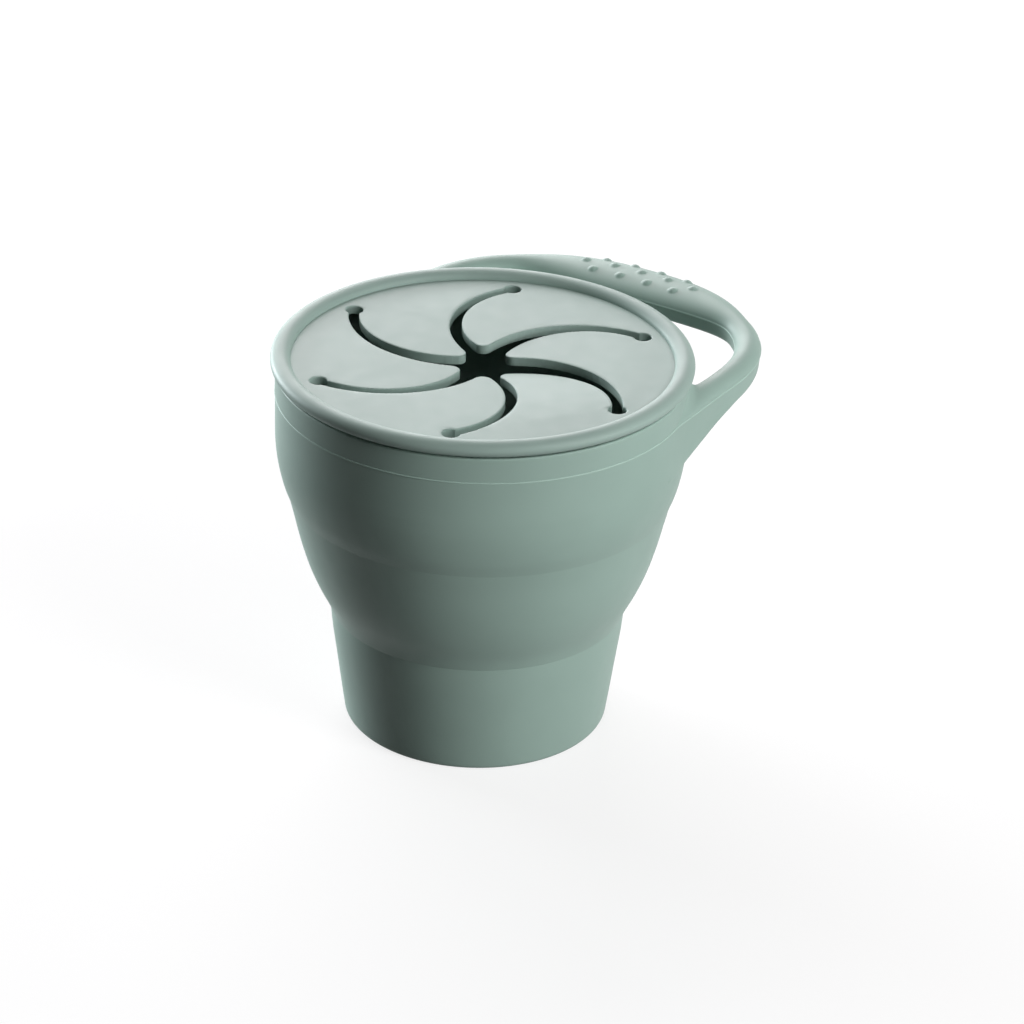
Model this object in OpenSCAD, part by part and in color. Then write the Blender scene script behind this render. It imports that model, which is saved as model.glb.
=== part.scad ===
// Toddler snack container: a collapsible soft cup with a carry loop, and a
// push-on lid whose six curved petals let a small hand in and keep the food in.
// Millimetres. Origin at the middle of the underside, Z up, carry loop along +X.

/* [Cup] */
// Radius of the underside
foot_r = 29.6; // [27:0.1:32]
// Height of the seam between the base cup and the folding wall
fold_low_z = 27; // [24:0.5:32]
// Height of the seam between the folding wall and the upper band
fold_high_z = 55; // [50:0.5:60]
// Outer radius of the upper band
band_r = 45; // [42:0.5:50]
// Height of the cup's rim
rim_z = 84.3; // [80:0.1:90]
// Wall thickness of the cup
wall = 2; // [1.6:0.1:3]
// Thickness of the floor
floor_t = 3; // [2:0.1:4]
// Height of the fine mould line that runs round the band and the loop
mould_z = 78.6; // [76:0.1:80]

/* [Carry loop] */
// How far the middle line of the loop stands from the cup's axis
loop_reach = 67.2; // [60:0.1:75]
// Half of the distance between the middle lines of the loop's two legs
loop_half = 41.1; // [38:0.1:43]
// Where the legs end and the bow begins
bow_x = 32; // [30:0.5:42]
// How square the bow is: 2 is an ellipse
bow_power = 2.54; // [2:0.01:4]
// Half width of the legs
leg_w = 2.9; // [2.4:0.1:4]
// Height of the legs' rounded top over the mould line
leg_h = 2.55; // [2:0.05:4]
// Half width of the grip, in the middle of the bow
grip_w = 7; // [4:0.1:8]
// Height of the grip's rounded top over the mould line
grip_h = 2.9; // [2:0.1:4]
// Where along the bow the grip begins to widen
grip_x = 59.4; // [54:0.1:62]
// How far the loop reaches under the mould line at the bow
loop_drop = 3.5; // [3:0.1:5]
// How much deeper than the bow the legs are where they join the cup
gusset_depth = 9.2; // [6:0.1:12]
// Radius of a grip nub at its foot
nub_r = 1.2; // [1:0.1:1.6]
// Distance between neighbouring nubs of a row
nub_pitch = 7; // [6:0.1:8]

/* [Lid] */
// Outer radius of the lid's bead
bead_r = 46; // [44:0.5:50]
// Height of the top of the lid's sheet
sheet_z = 86.1; // [85:0.1:87]
// Thickness of the sheet and its petals
sheet_t = 2.1; // [1.8:0.1:3]
// Clearance between the lid's plug and the cup
plug_gap = 0.3; // [0.2:0.05:0.5]
// Clearance of the two sealing ribs
rib_gap = 0.08; // [0.04:0.01:0.1]

/* [Petals] */
// Angle of the first slit's end hole
first_hole = 22.5; // [0:0.1:60]
// Distance of the end holes from the axis
hole_at = 37.3; // [35:0.1:38]
// Radius of the end holes
hole_r = 1.95; // [1.5:0.05:2.5]
// Radius of each petal's hollow side
side_in = 19.08; // [18:0.01:20]
// Radius of each petal's full side
side_out = 24.9; // [24:0.01:26]
// Radius of the petals' tips
tip_r = 2; // [1:0.1:2.5]
// Clearance round the rounded hinge edge
hinge_gap = 0.1; // [0.05:0.01:0.2]

/* [Hidden] */
$fn = 96;
sage = [0.62, 0.70, 0.67];
sage_lid = [0.72, 0.77, 0.75];
ring_z = sheet_z - sheet_t;          // underside of the lid's sheet
hinge_z = sheet_z - sheet_t / 2;
hinge_at = hole_at * cos(30);        // distance of each hinge line from the axis
plug_r = band_r - wall - 0.4;        // inner radius of the band's rim
// outer wall, from the underside up
base_wall = [[foot_r, 1.3], [30.19, 6], [30.72, 10], [31.25, 14], [31.8, 18],
             [32.33, 22], [32.8, fold_low_z]];
fold_wall_line = [[32.8, fold_low_z], [34.05, 30], [36.02, 34], [37.68, 38],
                  [38.98, 42], [40.06, 46], [41.08, 50.4], [42.2, fold_high_z]];
band_wall = [[42.2, fold_high_z], [43.37, 58.2], [44.2, 61.6], [44.75, 65],
             [band_r, 68.4]];
// the end holes, and the circles that the two sides of a petal follow
function turned(p, a) = [p.x * cos(a) - p.y * sin(a), p.x * sin(a) + p.y * cos(a)];
side_in_c = turned([20.01, -10.73], 60);
side_out_c = [17.97, -13.78];
// centre of a petal's tip: as far inside the hollow side as it is outside the full one
function both(p, r, q, s, sign) =
  let (d = norm(q - p), a = (r * r - s * s + d * d) / (2 * d), h = sqrt(r * r - a * a),
       u = (q - p) / d)
  p + a * u + sign * h * [-u.y, u.x];
tip_c = both(side_in_c, side_in - tip_r, side_out_c, side_out + tip_r, -1);
touch_in = side_in_c + (tip_c - side_in_c) * side_in / (side_in - tip_r);
touch_out = side_out_c + (tip_c - side_out_c) * side_out / (side_out + tip_r);
tip_way = -tip_c / norm(tip_c);

// a wall of even thickness behind an outline, turned round the axis
module turned_wall(line, t) {
  rotate_extrude($fn = 144)
    polygon(concat(line, [for (i = [len(line) - 1 : -1 : 0]) line[i] - [t, 0]]));
}

// Base cup: flat floor, rounded foot and the straight conical wall.
module base_cup() {
  color(sage) {
    rotate_extrude($fn = 144)
      polygon(concat(
        [[0, 0], [28.6, 0], [29.2, 0.3]],
        base_wall,
        [[32.8 - wall, fold_low_z], [31.8 - wall, 18], [30.19 - wall, 6.5],
         [29.97 - wall, floor_t + 1.5], [26.6, floor_t], [0, floor_t]]));
  }
}

// Folding wall: the bulged middle section that turns inside out as the cup is pushed down.
module fold_wall() {
  color(sage) turned_wall(fold_wall_line, wall);
}

// Upper band: rounded shoulder, straight rim and the fine raised mould line.
module upper_band() {
  color(sage) rotate_extrude($fn = 144)
    polygon(concat(
      band_wall,
      [[band_r, mould_z - 0.12], [band_r + 0.12, mould_z], [band_r, mould_z + 0.12],
       [band_r, rim_z - 0.5], [band_r - 0.5, rim_z], [plug_r + 0.3, rim_z],
       [plug_r, rim_z - 0.3], [plug_r, 76], [band_r - wall, 74]],
      [for (i = [len(band_wall) - 1 : -1 : 0]) band_wall[i] - [wall, 0]]));
}

// the loop's middle line, as [x, y, direction of its outer side]
leg_x = [9, 12, 15, 18, 21, 23, 25, 27, 29, 30.5];
bow_steps = 32;
bow_len = loop_reach - bow_x;
function way(x, y) = atan2(sign(y) * pow(abs(y) / loop_half, bow_power - 1) / loop_half,
                           pow(max(0, x) / bow_len, bow_power - 1) / bow_len);
function bow_at(y) =
  let (x = bow_len * pow(max(0, 1 - pow(abs(y) / loop_half, bow_power)), 1 / bow_power))
  [bow_x + x, y, way(x, y)];
function bow(u) =
  let (a = 90 * pow(abs(u), 1.2),
       y = sign(u) * loop_half * pow(sin(a), 2 / bow_power),
       x = bow_len * pow(cos(a), 2 / bow_power))
  [bow_x + x, y, abs(u) == 1 ? 90 * u : way(x, y)];
// outer and inner edge of a leg, where it melts into the cup
function leg_out(x) = loop_half + leg_w + lookup(x,
  [[9, -0.08], [10, -0.22], [11, -0.38], [12, -0.53], [14, -0.5], [22, -0.42], [27, -0.3],
   [30.5, -0.1], [32, 0]]);
function leg_in(x) = loop_half - leg_w
  - lookup(x, [[20, 3], [22, 2.4], [24, 1.4], [26, 0.6], [28, 0.15], [30, 0]]);
function smooth(t) = let (u = max(0, min(1, t))) u * u * (3 - 2 * u);
// share of the grip's width and height that the bow has at x
function grip(x) = smooth((x - grip_x) / 14.75) / smooth((loop_reach - grip_x) / 14.75);
function width_at(x) = leg_w + (grip_w - leg_w) * grip(x);
function crown_at(x) = leg_h + (grip_h - leg_h) * grip(x);
// how far the loop reaches under the mould line: its legs get deeper towards the cup
function drop_at(x) = loop_drop + gusset_depth * lookup(x,
  [[9, 1], [15, 0.82], [20.5, 0.65], [23.5, 0.555], [26.5, 0.445], [29, 0.345], [32, 0.235],
   [36, 0.175], [44, 0.13], [52, 0.055], [60, 0.01], [67, 0]]);
// one cross-section: rounded above the mould line, straight-sided below it
function section(w, h, d) = concat(
  [for (a = [0 : 15 : 180]) [w * cos(a), h * sin(a)]],
  [[-w + 0.25, 1.1 - d], [-w + 0.6, 0.3 - d], [-w + 1.3, -d],
   [w - 1.3, -d], [w - 0.6, 0.3 - d], [w - 0.25, 1.1 - d]]);
leg_rings = [for (x = leg_x)
  let (o = leg_out(x), i = leg_in(x), w = (o - i) / 2, c = (o + i) / 2)
  [for (q = section(w, leg_h, drop_at(x))) [x, -c - q.x, mould_z + q.y]]];
bow_rings = [for (k = [0 : bow_steps])
  let (p = bow(-1 + 2 * k / bow_steps))
  [for (q = section(width_at(p.x), crown_at(p.x), drop_at(p.x)))
    [p.x + q.x * cos(p[2]), p.y + q.x * sin(p[2]), mould_z + q.y]]];
far_rings = [for (x = [for (i = [len(leg_x) - 1 : -1 : 0]) leg_x[i]])
  let (o = leg_out(x), i = leg_in(x), w = (o - i) / 2, c = (o + i) / 2)
  [for (q = section(w, leg_h, drop_at(x))) [x, c + q.x, mould_z + q.y]]];
rings = concat(leg_rings, bow_rings, far_rings);
ring_n = len(rings[0]);
skin = [for (r = [0 : len(rings) - 2], i = [0 : ring_n - 1])
  let (a = r * ring_n + i, b = r * ring_n + (i + 1) % ring_n)
  each [[a, b, b + ring_n], [a, b + ring_n, a + ring_n]]];
near_end = [for (i = [ring_n - 1 : -1 : 0]) i];
far_end = [for (i = [0 : ring_n - 1]) (len(rings) - 1) * ring_n + i];
// the nubs: three staggered rows over the grip, each [angle from the top, number of nubs]
nub_rows = [[23, 4], [-10, 5], [-39, 4]];

// Carry loop: a flat-sided loop with a rounded top, deeper where its legs join the cup and
// wider at its grip, with low nubs over the grip.
module carry_handle() {
  color(sage) union() {
    difference() {
      polyhedron(points = [for (r = rings) each r], faces = concat(skin, [near_end, far_end]));
      cylinder(h = 200, r = band_r, $fn = 144);
    }
    for (row = nub_rows, k = [0 : row[1] - 1]) {
      p = bow_at((k - (row[1] - 1) / 2) * nub_pitch);
      w = width_at(p.x);
      h = crown_at(p.x);
      translate([p.x - w * sin(row[0]) * cos(p[2]), p.y - w * sin(row[0]) * sin(p[2]),
                 mould_z + h * cos(row[0])])
        rotate([0, 0, p[2]]) rotate([0, -atan(tan(row[0]) * h / w), 0])
          translate([0, 0, -0.75]) sphere(r = nub_r + 0.2, $fn = 20);
    }
  }
}

// the half plane inside a hinge line, and a petal's outline, for the hole at angle 0
module inside_hinge(gap = 0) {
  rotate(30) translate([hinge_at - gap - 80, -60]) square([80, 120]);
}
module petal_shape() {
  difference() {
    intersection() {
      translate(side_in_c) circle(side_in, $fn = 144);
      inside_hinge();
    }
    translate(side_out_c) circle(side_out, $fn = 144);
    translate(turned([hole_at, 0], 60)) circle(hole_r, $fn = 32);
    // the sharp tip, beyond where the round tip touches the two sides
    polygon([touch_in, touch_out, touch_out + 5 * tip_way, touch_in + 5 * tip_way]);
  }
  translate(tip_c) circle(tip_r - 0.03, $fn = 32);
}

// Petal: a curved flap with a rounded tip, on a rounded hinge edge between two end holes.
module petal(n) {
  color(sage_lid) rotate(first_hole + 60 * (n - 1)) {
    translate([0, 0, ring_z]) linear_extrude(sheet_t) petal_shape();
    rotate(30) translate([hinge_at, -12.6, hinge_z]) rotate([-90, 0, 0])
      cylinder(h = 12.6 + 16.4, r = sheet_t / 2 - 0.1, $fn = 32);
  }
}

// Lid: the bead, the plug with two sealing ribs, and the sheet's border with the end holes.
module lid_rim() {
  color(sage_lid) {
    difference() {
      union() {
        // bead over the cup's rim
        rotate_extrude($fn = 144) polygon(concat(
          [for (a = [-90 : 15 : 180])
            [bead_r - 2.2 + 2.2 * cos(a), 86.2 + 1.7 * sin(a)]],
          [[41.3, ring_z], [41, ring_z - 0.4], [41, 78], [41.3, 77.4], [42, 77.4],
           [plug_r - plug_gap, 77.8], [plug_r - plug_gap, 79.6], [plug_r - rib_gap, 80],
           [plug_r - plug_gap, 80.4], [plug_r - plug_gap, 82.2], [plug_r - rib_gap, 82.6],
           [plug_r - plug_gap, 83], [plug_r - plug_gap, 84.5]]));
        translate([0, 0, ring_z]) difference() {
          cylinder(h = sheet_t, r = 41.7, $fn = 144);
          // the six-sided opening for the petals
          translate([0, 0, -1]) rotate(first_hole) cylinder(h = sheet_t + 2, r = hole_at, $fn = 6);
        }
      }
      for (n = [0 : 5]) rotate(first_hole + 60 * n) {
        translate([hole_at, 0, ring_z - 1]) cylinder(h = sheet_t + 2, r = hole_r, $fn = 32);
        rotate(30) translate([hinge_at, -hole_at / 2, hinge_z]) rotate([-90, 0, 0])
          cylinder(h = hole_at, r = sheet_t / 2 + hinge_gap, $fn = 32);
        // room below the hinge for a petal that is pushed down
        rotate(30) translate([hinge_at - 1, -hole_at / 2, ring_z - 1])
          cube([sheet_t / 2 + hinge_gap + 1, hole_at, sheet_t / 2 + 1]);
        // the slit's outer end, where its full side passes over the hinge line
        translate([0, 0, ring_z - 1]) linear_extrude(sheet_t + 2) intersection() {
          translate(side_out_c) circle(side_out, $fn = 144);
          rotate(30) translate([hinge_at - 1, -hole_at / 2]) square([3.4, 8]);
        }
      }
    }
  }
}

base_cup();
fold_wall();
upper_band();
carry_handle();
lid_rim();
petal(1);  // petal_1
petal(2);  // petal_2
petal(3);  // petal_3
petal(4);  // petal_4
petal(5);  // petal_5
petal(6);  // petal_6
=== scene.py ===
import bmesh
import bpy
import numpy as np
from mathutils import Matrix


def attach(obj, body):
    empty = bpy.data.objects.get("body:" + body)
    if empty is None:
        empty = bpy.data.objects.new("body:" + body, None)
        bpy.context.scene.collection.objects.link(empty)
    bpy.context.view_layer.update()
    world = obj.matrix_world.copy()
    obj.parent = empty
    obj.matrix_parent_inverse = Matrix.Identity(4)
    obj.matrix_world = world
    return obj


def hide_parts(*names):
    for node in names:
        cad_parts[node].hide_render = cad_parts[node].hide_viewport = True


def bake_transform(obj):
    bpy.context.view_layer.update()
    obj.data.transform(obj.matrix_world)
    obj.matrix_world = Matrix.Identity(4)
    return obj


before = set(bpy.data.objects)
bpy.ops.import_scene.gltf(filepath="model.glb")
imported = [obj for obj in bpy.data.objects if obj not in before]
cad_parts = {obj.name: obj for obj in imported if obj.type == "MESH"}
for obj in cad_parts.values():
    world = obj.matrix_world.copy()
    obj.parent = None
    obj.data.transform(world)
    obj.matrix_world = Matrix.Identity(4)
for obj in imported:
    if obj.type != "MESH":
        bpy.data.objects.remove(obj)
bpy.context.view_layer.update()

# ---- Camera -------------------------------------------------------------------------------
# It stands in front of the cup and 27 degrees above it, and the carry loop points away to
# the right. A long lens keeps the cup's two sides nearly parallel.
turn, tilt, roll = np.radians([58.323, -27.463, 1.557])
stand = (-0.6629, -0.4175, 0.456)
sight = np.array([np.sin(turn) * np.cos(tilt), np.cos(turn) * np.cos(tilt), np.sin(tilt)])
level = np.cross(sight, [0, 0, 1]) / np.cos(tilt)
upward = np.cross(level, sight)
right = level * np.cos(roll) + upward * np.sin(roll)
top = upward * np.cos(roll) - level * np.sin(roll)
lens = bpy.data.cameras.new("camera")
lens.lens, lens.sensor_width, lens.clip_end = 140.625, 36, 20
camera = bpy.data.objects.new("camera", lens)
camera.matrix_world = Matrix([[right[k], top[k], -sight[k], stand[k]] for k in range(3)]
                             + [[0, 0, 0, 1]])
bpy.context.collection.objects.link(camera)
bpy.context.scene.camera = camera
bpy.context.scene.view_settings.view_transform = "Standard"


# ---- Base cup -----------------------------------------------------------------------------
# The bottom third of the soft cup: a flat floor, a rounded foot and a straight conical wall.
# It is one silicone moulding with the folding wall and the band above it.
def rounded(corners, cut, steps=7):
    """Line with rounded corners: from the cut distance before each corner to the same distance
    after it, a point is (1-t)^2 of the start, 2t(1-t) of the corner and t^2 of the end."""
    c, cut = np.array(corners, float), np.array(cut, float)[:, None]
    back, on = np.roll(c, 1, 0) - c, np.roll(c, -1, 0) - c
    a = (c + cut * back / np.linalg.norm(back, axis=1)[:, None])[:, None]
    b = (c + cut * on / np.linalg.norm(on, axis=1)[:, None])[:, None]
    t = np.linspace(0, 1, steps)[None, :, None]
    line = ((1 - t) ** 2 * a + 2 * t * (1 - t) * c[:, None] + t ** 2 * b).reshape(-1, 2)
    return line[np.r_[True, np.linalg.norm(np.diff(line, axis=0), axis=1) > 1e-4]]


def through(points, steps=6):
    """Smooth line through the points: a cubic between each two, whose slope at a point is half
    the step from the point before it to the point after it."""
    p = np.array(points, float)
    m = np.gradient(p, axis=0)
    t = np.linspace(0, 1, steps, endpoint=False)[None, :, None]
    a, b, ma, mb = p[:-1, None], p[1:, None], m[:-1, None], m[1:, None]
    line = ((2 * t ** 3 - 3 * t ** 2 + 1) * a + (t ** 3 - 2 * t ** 2 + t) * ma
            + (3 * t ** 2 - 2 * t ** 3) * b + (t ** 3 - t ** 2) * mb)
    return np.vstack([line.reshape(-1, p.shape[1]), p[-1:]])


def turned(profile, steps=256):
    """Profile turned round the cup's axis: x = r cos a, y = r sin a, z = z."""
    r, z = np.array(profile).T
    a = np.linspace(0, 2 * np.pi, steps, endpoint=False)
    return np.stack([np.outer(r, np.cos(a)), np.outer(r, np.sin(a)),
                     np.repeat(z[:, None], steps, 1)], 2)


def skin(points, round_rows=False, round_columns=True):
    """Faces of a grid of points: each joins a point, the next one in its row, and the two
    beside them in the next row. A round direction joins its last points to its first."""
    rows, columns = points.shape[:2]
    i = np.arange(rows if round_rows else rows - 1)[:, None]
    j = np.arange(columns if round_columns else columns - 1)[None, :]
    i2, j2 = (i + 1) % rows, (j + 1) % columns
    return np.stack([i * columns + j, i * columns + j2, i2 * columns + j2, i2 * columns + j],
                    -1).reshape(-1, 4)


def moulding(name, slot, skins, crisp=32):
    """One closed moulding from (points in millimetres, faces) pairs: equal points are merged,
    faces turned outwards, and edges sharper than the crisp angle kept as edges."""
    points = np.vstack([p.reshape(-1, 3) for p, _ in skins]) / 1000
    first = np.cumsum([0] + [p.size // 3 for p, _ in skins])
    faces = np.vstack([f + n for (_, f), n in zip(skins, first)])
    mesh = bpy.data.meshes.new(name)
    mesh.from_pydata(points.tolist(), [], faces.tolist())
    bm = bmesh.new()
    bm.from_mesh(mesh)
    bmesh.ops.remove_doubles(bm, verts=bm.verts, dist=1e-6)
    bmesh.ops.dissolve_degenerate(bm, edges=bm.edges, dist=1e-7)
    bmesh.ops.recalc_face_normals(bm, faces=bm.faces)
    bm.to_mesh(mesh)
    bm.free()
    mesh.polygons.foreach_set("use_smooth", np.ones(len(mesh.polygons), bool))
    mesh.set_sharp_from_angle(angle=np.radians(crisp))
    mesh.materials.append(silicone[slot])
    made = bpy.data.objects.new(name, mesh)
    bpy.context.collection.objects.link(made)
    return made


def soft_silicone(name, colour, parting=None):
    """Matte silicone: the colour drifts by a few parts in a hundred over centimetres, and the
    gloss and the fine grain of the blasted mould vary over fractions of a millimetre. At the
    mould's parting, a height in metres, a thin band is painted lighter: a painted highlight."""
    material = bpy.data.materials.new(name)
    material.use_nodes = True
    nodes, links = material.node_tree.nodes, material.node_tree.links
    shader = nodes["Principled BSDF"]
    place = nodes.new("ShaderNodeTexCoord")

    def noise(scale, detail):
        node = nodes.new("ShaderNodeTexNoise")
        node.inputs["Scale"].default_value = scale
        node.inputs["Detail"].default_value = detail
        links.new(place.outputs["Object"], node.inputs["Vector"])
        return node.outputs["Fac"]

    tint = nodes.new("ShaderNodeValToRGB")
    for element, position, shade in zip(tint.color_ramp.elements, (0.3, 0.7), (0.95, 1.04)):
        element.position, element.color = position, [shade * c for c in colour] + [1]
    links.new(noise(38, 3), tint.inputs["Fac"])
    links.new(tint.outputs["Color"], shader.inputs["Base Color"])
    # painted highlight: a thin band at the parting height is mixed towards a colour 1.9 times as
    # light
    if parting:
        height, apart, far, line, painted_highlight = (nodes.new("ShaderNode" + kind) for kind in (
            "SeparateXYZ", "Math", "Math", "MapRange", "MixRGB"))
        links.new(place.outputs["Object"], height.inputs[0])
        apart.operation, far.operation = "SUBTRACT", "ABSOLUTE"
        apart.inputs[1].default_value = parting
        links.new(height.outputs["Z"], apart.inputs[0])
        links.new(apart.outputs[0], far.inputs[0])
        links.new(far.outputs[0], line.inputs["Value"])
        for socket, value in zip(("From Min", "From Max", "To Min", "To Max"),
                                 (1.2e-4, 2.2e-4, 0.36, 0)):
            line.inputs[socket].default_value = value
        painted_highlight.inputs["Color2"].default_value = [1.9 * c for c in colour] + [1]
        links.new(line.outputs["Result"], painted_highlight.inputs["Fac"])
        links.new(tint.outputs["Color"], painted_highlight.inputs["Color1"])
        links.new(painted_highlight.outputs["Color"], shader.inputs["Base Color"])
    gloss = nodes.new("ShaderNodeMapRange")
    gloss.inputs["To Min"].default_value, gloss.inputs["To Max"].default_value = 0.43, 0.57
    links.new(noise(260, 4), gloss.inputs["Value"])
    links.new(gloss.outputs["Result"], shader.inputs["Roughness"])
    grain = nodes.new("ShaderNodeBump")
    grain.inputs["Strength"].default_value, grain.inputs["Distance"].default_value = 0.25, 2e-5
    links.new(noise(5200, 2), grain.inputs["Height"])
    links.new(grain.outputs["Normal"], shader.inputs["Normal"])
    shader.inputs["IOR"].default_value = 1.41
    shader.inputs["Specular IOR Level"].default_value = 0.32
    return material


mould_z = 78.6
# the cup's silicone gets a painted highlight along the mould line at mould_z
silicone = {"cup_silicone": soft_silicone("soft_cup", (0.280, 0.388, 0.343), mould_z / 1000),
            # the lid is the cup's silicone, its colour a touch greyer than the cup's: a little
            # painted sheen
            "lid_silicone": soft_silicone("soft_lid", (0.290, 0.386, 0.349))}

base_wall = [[30.19, 6], [30.72, 10], [31.25, 14], [31.8, 18], [32.33, 22], [32.8, 27]]
foot = rounded([[0, 0], [29.35, 0], [30.19, 6]], [0, 1.3, 0])[:-1]
inside = rounded([[30.8, 27], [29.8, 18], [28.1, 5.5], [26.8, 3], [0, 3]], [0, 2, 1, 2, 0])
shell = turned(np.vstack([foot, through(base_wall, 4), inside]))
base = moulding("cup_base", "cup_silicone", [(shell, skin(shell))])
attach(base, "base")
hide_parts("base_cup")

# ---- Folding wall -------------------------------------------------------------------------
# The bulged middle third of the cup. When the cup is pushed down, it rolls inside out
# between the base and the band.
wall = 2.0
fold_line = through([[32.8, 27], [34.05, 30], [36.02, 34], [37.68, 38], [38.98, 42],
                     [40.06, 46], [41.08, 50.4], [42.2, 55]], 10)
shell = turned(np.vstack([fold_line, fold_line[::-1] - [wall, 0]]))
fold = moulding("cup_fold", "cup_silicone", [(shell, skin(shell, round_rows=True))])
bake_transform(fold)
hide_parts("fold_wall")

# ---- Upper band ---------------------------------------------------------------------------
# The stiffer rim of the cup: a rounded shoulder and a straight rim. The halves of the mould
# meet in a fine raised line just under the lid.
band_r, line_half, line_high = 45.0, 0.2, 0.12


def mould_line(z):
    """The raised line at a height: half an ellipse, 0.2 mm each way from the parting and
    0.12 mm high."""
    return line_high * np.sqrt(np.maximum(1 - ((z - mould_z) / line_half) ** 2, 0))


shoulder = through([[42.2, 55], [43.37, 58.2], [44.2, 61.6], [44.75, 65], [band_r, 68.4]], 8)
across_line = line_half * np.cos(np.radians(np.arange(180, -1, -15)))
rim_z = np.r_[np.linspace(69.5, 78, 12), mould_z + across_line, np.linspace(79, 83.4, 7)]
rim = np.column_stack([band_r + mould_line(rim_z), rim_z])
lip = rounded([[band_r, 83.4], [band_r, 84.3], [42.6, 84.3], [42.6, 76], [43, 74], [43, 68.4]],
              [0, 0.5, 0.3, 1, 0.8, 0])[1:]
shell = turned(np.vstack([shoulder, rim, lip, shoulder[-2::-1] - [wall, 0]]))
band = moulding("cup_band", "cup_silicone", [(shell, skin(shell, round_rows=True))])
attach(band, "upper")
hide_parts("upper_band")

# ---- Carry loop ---------------------------------------------------------------------------
# A strap moulded in one with the band: rounded above the mould line, flat-sided below it,
# deeper towards the cup, with three rows of grip nubs over its bow.
loop_half, bow_x, bow_len, power = 41.1, 32.0, 35.2, 2.54
strap_half, grip_more, grip_from, grip_rise = 2.9, 3.98, 59.4, 14.75
crown_high, crown_more, bow_deep, leg_deeper = 2.55, 0.35, 3.5, 9.2
leg_x = np.arange(5, 31.9, 0.4)
leave_x = 6.5
band_y = np.sqrt(band_r ** 2 - leg_x ** 2)
# how far the legs' outer and inner sides stand out from the strap's, and lean in, at each x
out_table = through([[5, 0.78], [leave_x, 0.528], [8, 0.34], [10, 0.19], [12, 0.14], [14, 0.14],
                     [16, 0.13], [18, 0.11], [20, 0.07], [22, 0.03], [25, 0], [34, 0]])
lean_table = through([[3, 0], [6.5, 0], [8, 0.05], [10, 0.27], [12, 0.55], [14, 0.75], [16, 0.86],
                      [18, 0.91], [20, 0.92], [22, 0.93], [25, 0.9], [27, 0.8], [29, 0.62],
                      [30.5, 0.45], [32, 0.31], [34, 0.25], [36, 0.25]])
in_table = through([[0, 2.4], [20, 2.2], [22, 1.7], [24, 0.9], [26, 0.35], [28, 0.1], [30, 0],
                    [34, 0]])
# the outer side leaves the band along the band's own circle
leg_out = np.where(leg_x < leave_x, band_y - 0.02 * (leave_x - leg_x) ** 2,
                   loop_half + strap_half + np.interp(leg_x, *out_table.T))
leg_in = loop_half - strap_half - np.interp(leg_x, *in_table.T)


def ease(t):
    """From 0 to 1 as 3 t^2 - 2 t^3."""
    t = np.clip(t, 0, 1)
    return t * t * (3 - 2 * t)


def bow(y):
    """The bow's middle line, a squarish ellipse: ((x - 32) / 35.2)^2.54 + (y / 41.1)^2.54 = 1,
    and its outward direction in plan, the slope of that sum."""
    far = np.clip(np.abs(y) / loop_half, 0, 1)
    x = bow_len * (1 - far ** power) ** (1 / power)
    out = np.column_stack([(x / bow_len) ** (power - 1) / bow_len,
                           np.sign(y) * far ** (power - 1) / loop_half])
    return np.column_stack([bow_x + x, y]), out / np.linalg.norm(out, axis=1)[:, None]


def grip(x):
    """Share of the grip's extra width at x: 0 up to x = 59.4, 1 in the middle of the bow, the
    ease of the way past 59.4 over its value there."""
    return ease((x - grip_from) / grip_rise) / ease((bow_x + bow_len - grip_from) / grip_rise)


bow_a = np.radians(np.linspace(42, 90, 60)[::-1])
corner_y = loop_half * np.sin(bow_a) ** (2 / power)
grip_y = np.linspace(-corner_y[-1], corner_y[-1], 300)[1:-1]
bow_mid, bow_out = bow(np.r_[-corner_y, grip_y, corner_y[::-1]])
leg_mid = np.column_stack([leg_x, -(leg_out + leg_in) / 2])
leg_way = np.tile([0.0, -1.0], (len(leg_x), 1))
middle = np.vstack([leg_mid, bow_mid, leg_mid[::-1] * [1, -1]])
outward = np.vstack([leg_way, bow_out, -leg_way])
half_leg = (leg_out - leg_in) / 2
half = np.r_[half_leg, strap_half + grip_more * grip(bow_mid[:, 0]), half_leg[::-1]][:, None]
crown = (crown_high + crown_more * grip(middle[:, 0]))[:, None]
drop_table = through([[3, 1], [9, 1.01], [15, 0.87], [20.5, 0.715], [23.5, 0.625], [26.5, 0.51],
                      [29, 0.4], [32, 0.28], [36, 0.185], [44, 0.12], [52, 0.055], [60, 0.01],
                      [67, 0], [70, 0]])
drop = (bow_deep + leg_deeper * np.interp(middle[:, 0], *drop_table.T))[:, None]
lean = np.interp(middle[:, :1], *lean_table.T)


def strap_section(w, h, d, lean, corner=1.3, corner_in=1.05):
    """Across the strap: half an ellipse of half width w and height h over the mould line,
    q = w cos a, z = h sin a; sides that lean in evenly below it; a quarter ellipse at each
    corner, 1.05 mm wide and 1.3 mm high; and a flat underside at depth d."""
    first = np.array([0, 0.02, 0.04, 0.06, 0.08])
    phi = np.r_[first, np.radians(np.arange(7, 174, 3)), np.pi - first[::-1]][None]
    t = np.hstack([[0.07, 0.14, 0.21, 0.4, 1] + 0 * d,
                   1 + (d - 1 - corner) * np.linspace(0.2, 1, 5)])
    psi = np.linspace(0, np.pi / 2, 8)[None, 1:]
    side_q = w - lean * t / (d - corner)
    side_z = -t
    turn_q = w - lean - corner_in * (1 - np.cos(psi))
    turn_z = -(d - corner) - corner * np.sin(psi)
    flat = np.linspace(-1, 1, 8)[None, 1:-1]
    q = np.hstack([w * np.cos(phi), -side_q, -turn_q, flat * (w - lean - corner),
                   turn_q[:, ::-1], side_q[:, ::-1]])
    z = np.hstack([h * np.sin(phi), side_z, turn_z, -d + 0 * flat, turn_z[:, ::-1],
                   side_z[:, ::-1]])
    return q, z


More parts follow.
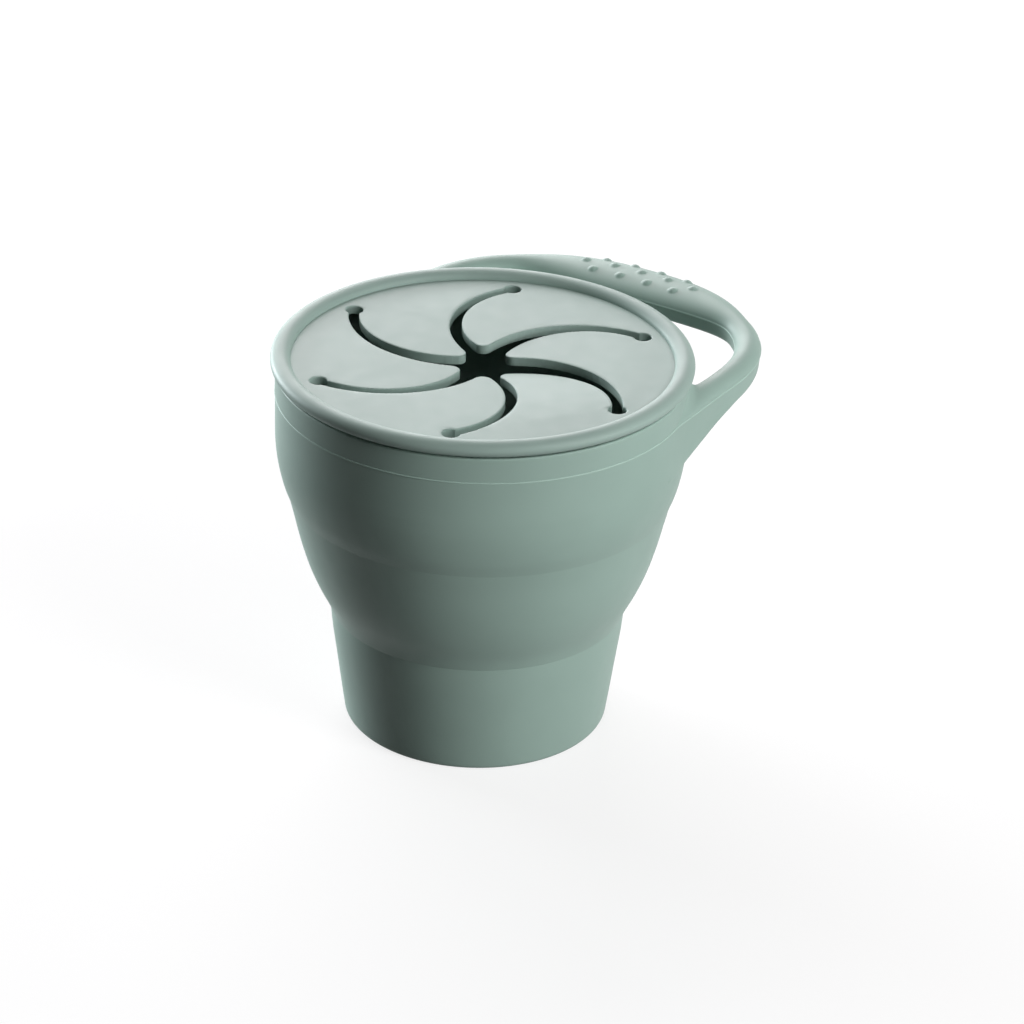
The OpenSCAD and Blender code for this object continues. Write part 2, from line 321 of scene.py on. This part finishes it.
q, rise = strap_section(half, crown, drop, lean)
strap = np.dstack([middle[:, :1] + q * outward[:, :1], middle[:, 1:] + q * outward[:, 1:],
                   mould_z + rise])
along = np.gradient(strap, axis=0)
across = np.roll(strap, -1, 1) - np.roll(strap, 1, 1)
normal = np.cross(across, along)
normal /= np.linalg.norm(normal, axis=2)[:, :, None]
normal *= np.sign(np.sum(normal * (strap - strap.mean(1, keepdims=True)), 2).mean())
# grip nubs: low domes, 4, 5 and 4 of them, in rows on the inner side, the top and the outer
# side. Each is the cap of a ball of 1.5 mm sunk by 0.96 mm, softened where it meets the strap
nub_r, nub_sunk, nub_middle, nub_soft = 1.5, 0.96, 0.45, 0.02
nub_rows = ((23, 4, 7.27), (-10, 5, 7), (-39, 4, 6.87))
nub_tilt, nub_y = np.array([(np.radians(tilt), nub_middle + (k - (count - 1) / 2) * pitch)
                            for tilt, count, pitch in nub_rows for k in range(count)]).T
nub_mid, nub_out = bow(nub_y)
share = grip(nub_mid[:, 0])
nub_aside = (strap_half + grip_more * share) * np.sin(nub_tilt)
nub_at = np.column_stack([nub_mid - nub_out * nub_aside[:, None],
                          mould_z + (crown_high + crown_more * share) * np.cos(nub_tilt)])
off = np.min(np.linalg.norm(strap[:, :, None] - nub_at, axis=3), axis=2)
dome = np.sqrt(np.maximum(nub_r ** 2 - off ** 2, 0)) - nub_sunk
dome = np.where(off < nub_r + 0.1, 0.5 * (dome + np.sqrt(dome ** 2 + nub_soft ** 2)), 0)
# where the strap meets the band, its top spreads in a hollow of 2 mm radius and its inner side
# in one of 0.4 mm, and both begin as its outer side comes 2 mm clear of the band
hollow_side, hollow_top = 0.4, 2.0
clear = ease((leg_out - band_y) / hollow_top)
clear = np.r_[clear, np.ones(len(bow_mid)), clear[::-1]][:, None]
size = clear * (hollow_side + (hollow_top - hollow_side) * ease(normal[:, :, 2]))
gap = np.clip(np.hypot(strap[:, :, 0], strap[:, :, 1]) - band_r, 0, size)
radial = strap * [1, 1, 0] / np.linalg.norm(strap * [1, 1, 0], axis=2)[:, :, None]
sideways = normal - np.sum(normal * radial, 2)[:, :, None] * radial
hollow = (size - np.sqrt(size ** 2 - (size - gap) ** 2)) * ease((normal[:, :, 2] + 0.3) / 0.3)
line = np.sign(q) * mould_line(rise + mould_z)
strap = strap + normal * dome[:, :, None] + sideways * hollow[:, :, None]
strap[:, :, :2] += line[:, :, None] * outward[:, None]
# the strap's ends stay inside the band's wall, 43.9 mm or more from the cup's axis
hidden_r = 43.9
from_axis = np.maximum(np.hypot(strap[:, :, 0], strap[:, :, 1]), 1)
strap[:, :, :2] *= np.maximum(hidden_r / from_axis, 1)[:, :, None]
ends = [np.repeat(strap[k].mean(0)[None, None], strap.shape[1], 1) for k in (0, -1)]
strap = np.vstack([ends[0], strap, ends[1]])
loop = moulding("carry_loop", "cup_silicone", [(strap, skin(strap))], crisp=60)
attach(loop, "upper")
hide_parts("carry_handle")

# ---- Lid ----------------------------------------------------------------------------------
# A push-on silicone lid: a round bead that overhangs the rim, a plug with two sealing ribs,
# and a sheet whose six slits end in round holes.
sheet_z, sheet_t, soft_edge, lid_turn = 86.1, 2.1, 0.32, 22.5


def plan(r, degrees):
    """Point in plan at a distance and an angle: (r cos a, r sin a)."""
    return r * np.array([np.cos(np.radians(degrees)), np.sin(np.radians(degrees))])


def arc(centre, radius, start, end, step=0.3):
    """Points on a circle from one angle to another, in degrees, a given step apart."""
    a = np.radians(np.linspace(start, end, 1 + int(abs(np.radians(end - start)) * radius / step)))
    return centre + radius * np.column_stack([np.cos(a), np.sin(a)])


def spun(points, degrees):
    """Points turned round the axis: (x cos a - y sin a, x sin a + y cos a)."""
    c, s = plan(1, degrees)
    return np.column_stack([points[:, 0] * c - points[:, 1] * s,
                            points[:, 0] * s + points[:, 1] * c])


# one sixth of the cut edges, for the hole at angle 0 and the petal after it: the petal's full
# side, its hollow side, its tip and its end holes are arcs, each of one centre and radius
hole_at, hole_r = 37.3, 1.95
hinge_at = hole_at * np.cos(np.radians(30))
full_c, full_r = np.array([17.97, -13.78]), 24.9
hollow_c, hollow_r = spun(np.array([[20.01, -10.73]]), 60)[0], 19.08
tip_c, tip_r = np.array([2.604, 8.301]), 2.0
far_hole = plan(hole_at, 60)
edge_full = arc(full_c, full_r, 48.37, 124.84)
edge_tip = arc(tip_c, tip_r, -55.16, -167.6, 0.15)
edge_hollow = arc(hollow_c, hollow_r, 192.4, 96.2)
edge_petal_hole = arc(far_hole, hole_r, 224.2, 300, 0.15)
edge_hole = arc(np.array([hole_at, 0]), hole_r, 240, 450.9, 0.15)
edge_past = arc(full_c, full_r, 39.2, 48.37, 0.15)
cut_edges = np.vstack([edge_full, edge_tip, edge_hollow, edge_petal_hole, edge_hole, edge_past])
near_cuts = np.vstack([spun(cut_edges, turn_by) for turn_by in (-60, 0, 60)])


def rounding(flat):
    """How far a cut edge is rounded off at a point of the sheet: radius 0.32 mm, from the
    point's distance to the nearest cut."""
    d = np.min(np.linalg.norm(flat[:, None] - near_cuts[None], axis=2), axis=1)
    return soft_edge - np.sqrt(soft_edge ** 2 - np.clip(soft_edge - d, 0, soft_edge) ** 2)


def sheet(starts, ends, steps):
    """Points on lines across the sheet from one edge to the other, close together near both
    edges, and how far each is rounded off."""
    near = np.array([0, 0.02, 0.055, 0.1, 0.17, 0.26, 0.4])
    length = np.linalg.norm(ends - starts, axis=1)[:, None]
    near = np.minimum(near, length * np.linspace(0, 0.32, len(near)))
    middle_part = near[:, -1:] + (length - 2 * near[:, -1:]) * np.linspace(0, 1, steps)[None, 1:-1]
    at = np.hstack([near, middle_part, length - near[:, ::-1]]) / np.maximum(length, 1e-9)
    flat = starts[:, None] + (ends - starts)[:, None] * at[:, :, None]
    return flat, rounding(flat.reshape(-1, 2)).reshape(at.shape)


def slab(flat, round_off, top_z):
    """Closed sheet: its top at top_z less the rounding, its underside a thickness below."""
    under = flat[:, ::-1]
    return np.concatenate([np.dstack([flat, top_z - round_off]),
                           np.dstack([under, top_z[:, ::-1] - sheet_t + round_off[:, ::-1]])], 1)


# the border: from the holes and the hinge lines out to the bead
chord = np.linspace(-13.06, 16.7, 60)[1:-1]
chord = hinge_at * plan(1, 30) + chord[:, None] * plan(1, 120)
inner = np.vstack([edge_hole, edge_past[1:], chord])
outer_a = np.r_[np.linspace(-10, 7, len(edge_hole)),
                np.linspace(7, 11, len(edge_past))[1:], np.linspace(11, 50, 60)[1:-1]]
outer = plan(41.75, outer_a).T
flat, round_off = sheet(inner, outer, 8)
round_off[:, -8:] = 0
border = slab(flat, round_off, np.full(round_off.shape, sheet_z))


def placed(points, n):
    """One sixth of the lid turned to its place: by n times 60 degrees, and the lid's own turn."""
    flat_points = points.reshape(-1, 3)
    return np.column_stack([spun(flat_points[:, :2], 60 * n + lid_turn),
                            flat_points[:, 2]]).reshape(points.shape)


border = np.vstack([placed(border, n) for n in range(6)])
bead_a = np.radians(np.arange(-90, 181, 7.5))
bead = np.column_stack([43.8 + 2.2 * np.cos(bead_a), 86.2 + 1.7 * np.sin(bead_a)])
plug = rounded([[41.6, 86.2], [41.3, 84], [41, 83.6], [41, 78], [41.3, 77.4], [42, 77.4],
                [42.3, 77.8], [42.3, 79.6], [42.52, 80], [42.3, 80.4], [42.3, 82.2],
                [42.52, 82.6], [42.3, 83], [42.3, 84.5]],
               [0, 0.1, 0.1, 0.3, 0.2, 0.2, 0.1, 0.1, 0.15, 0.1, 0.1, 0.15, 0.1, 0], 4)
ring = turned(np.vstack([bead, plug[1:]]))
lid = moulding("lid_bead", "lid_silicone", [(ring, skin(ring, round_rows=True)),
                                            (border, skin(border, round_rows=True))])
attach(lid, "lid")
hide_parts("lid_rim")

# ---- Petals -------------------------------------------------------------------------------
# Six curved flaps of the lid's sheet, each between two slits. Each bends along the line
# between its two end holes, hangs a little at its tip, and leans a little to one side.
side_full = np.vstack([edge_full, arc(tip_c, tip_r, -55.16, -111.4, 0.15)[1:]])
side_hollow = np.vstack([edge_petal_hole[::-1], edge_hollow[::-1][1:],
                         arc(tip_c, tip_r, 192.4, 248.6, 0.15)[1:]])


def evenly(line, places):
    """Points at given shares of a line's length."""
    run = np.r_[0, np.cumsum(np.linalg.norm(np.diff(line, axis=0), axis=1))]
    return np.column_stack([np.interp(places * run[-1], run, line[:, k]) for k in (0, 1)])


places = np.r_[np.linspace(0, 0.06, 10), np.linspace(0.07, 0.9, 70), np.linspace(0.91, 1, 24)]
flat, round_off = sheet(evenly(side_full, places), evenly(side_hollow, places), 16)
# share of the way from the hinge to 25 mm inside it
inside_hinge = np.maximum(hinge_at - flat @ plan(1, 30), 0) / 25
hangs = (0.45, 0.5, 0.9, 2.1, 0.9, 0.1)
leans = ((0.31, -1.80), (-0.27, -0.22), (0.2, -0.07), (0.30, -1.70), (-0.25, -0.2), (0.4, -0.15))
for n, (hang, aside) in enumerate(zip(hangs, leans)):
    petal = slab(flat + inside_hinge[:, :, None] ** 1.5 * aside, round_off,
                 sheet_z - hang * inside_hinge ** 1.7)
    petal = placed(petal, n)
    wide = petal.shape[1] // 2
    root = np.stack([petal[0, :wide], petal[0, :wide - 1:-1]])
    flap = moulding(f"lid_petal_{n + 1}", "lid_silicone",
                    [(petal, skin(petal)), (root, skin(root, round_columns=False))])
    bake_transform(flap)
    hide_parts(f"petal_{n + 1}")


# ---- Table, backdrop and lights -----------------------------------------------------------
# A plain pale table under an even white surround, two soft lamps on the right, one low and one
# higher, a broad one high behind the cup and one low on the left.
def white_to_camera(tree, others, seen):
    """Mix of two shaders: the second where a camera, mirror or glass ray sees it."""
    path = tree.nodes.new("ShaderNodeLightPath")
    best = path.outputs["Is Camera Ray"]
    for ray in ("Is Glossy Ray", "Is Transmission Ray"):
        either = tree.nodes.new("ShaderNodeMath")
        either.operation = "MAXIMUM"
        tree.links.new(best, either.inputs[0])
        tree.links.new(path.outputs[ray], either.inputs[1])
        best = either.outputs[0]
    mix = tree.nodes.new("ShaderNodeMixShader")
    tree.links.new(best, mix.inputs[0])
    tree.links.new(others, mix.inputs[1])
    tree.links.new(seen, mix.inputs[2])
    return mix.outputs[0]


mesh = bpy.data.meshes.new("table")
mesh.from_pydata([(-4, -4, 0), (4, -4, 0), (4, 4, 0), (-4, 4, 0)], [], [(0, 1, 2, 3)])
table = bpy.data.objects.new("table", mesh)
bpy.context.collection.objects.link(table)
matt = bpy.data.materials.new("table")
matt.use_nodes = True
tree = matt.node_tree
tree.nodes.remove(tree.nodes["Principled BSDF"])
dull, pale, glow, both = (tree.nodes.new("ShaderNode" + kind) for kind in
                          ("BsdfDiffuse", "BsdfDiffuse", "Emission", "AddShader"))
dull.inputs["Color"].default_value = (0.12, 0.12, 0.12, 1)
pale.inputs["Color"].default_value = (0.2, 0.2, 0.2, 1)
glow.inputs["Strength"].default_value = 0.8
tree.links.new(pale.outputs[0], both.inputs[0])
tree.links.new(glow.outputs[0], both.inputs[1])
tree.links.new(white_to_camera(tree, dull.outputs[0], both.outputs[0]),
               tree.nodes["Material Output"].inputs["Surface"])
table.data.materials.append(matt)

world = bpy.data.worlds.new("surround")
world.use_nodes = True
bpy.context.scene.world = world
tree = world.node_tree
fill = tree.nodes["Background"]
fill.inputs["Color"].default_value, fill.inputs["Strength"].default_value = (1, 1, 1, 1), 0
white = tree.nodes.new("ShaderNodeBackground")
white.inputs["Color"].default_value, white.inputs["Strength"].default_value = (1, 1, 1, 1), 1
tree.links.new(white_to_camera(tree, fill.outputs[0], white.outputs[0]),
               tree.nodes["World Output"].inputs["Surface"])


def lamp(name, place, size, power, tint=(1, 1, 1)):
    """Square soft lamp that faces the middle of the cup."""
    light = bpy.data.lights.new(name, "AREA")
    light.shape, light.size, light.energy, light.color = "SQUARE", size, power, tint
    made = bpy.data.objects.new(name, light)
    away = np.array(place) - (0, 0, 0.05)
    away = away / np.linalg.norm(away)
    side = np.cross([0, 0, 1], away)
    side = side / np.linalg.norm(side)
    rise = np.cross(away, side)
    made.matrix_world = Matrix([[side[k], rise[k], away[k], place[k]] for k in range(3)]
                               + [[0, 0, 0, 1]])
    bpy.context.collection.objects.link(made)


lamp("lamp_right", (0.038, -0.995, 0.137), 0.35, 7.2)
lamp("lamp_right_high", (-0.148, -0.774, 0.666), 0.35, 4.5)
lamp("lamp_behind", (0.588, 0.635, 0.55), 0.8, 12.3, (1, 0.94, 0.97))
lamp("lamp_left_low", (0.170, 0.982, 0.137), 0.4, 15.5, (0.93, 1, 1.03))
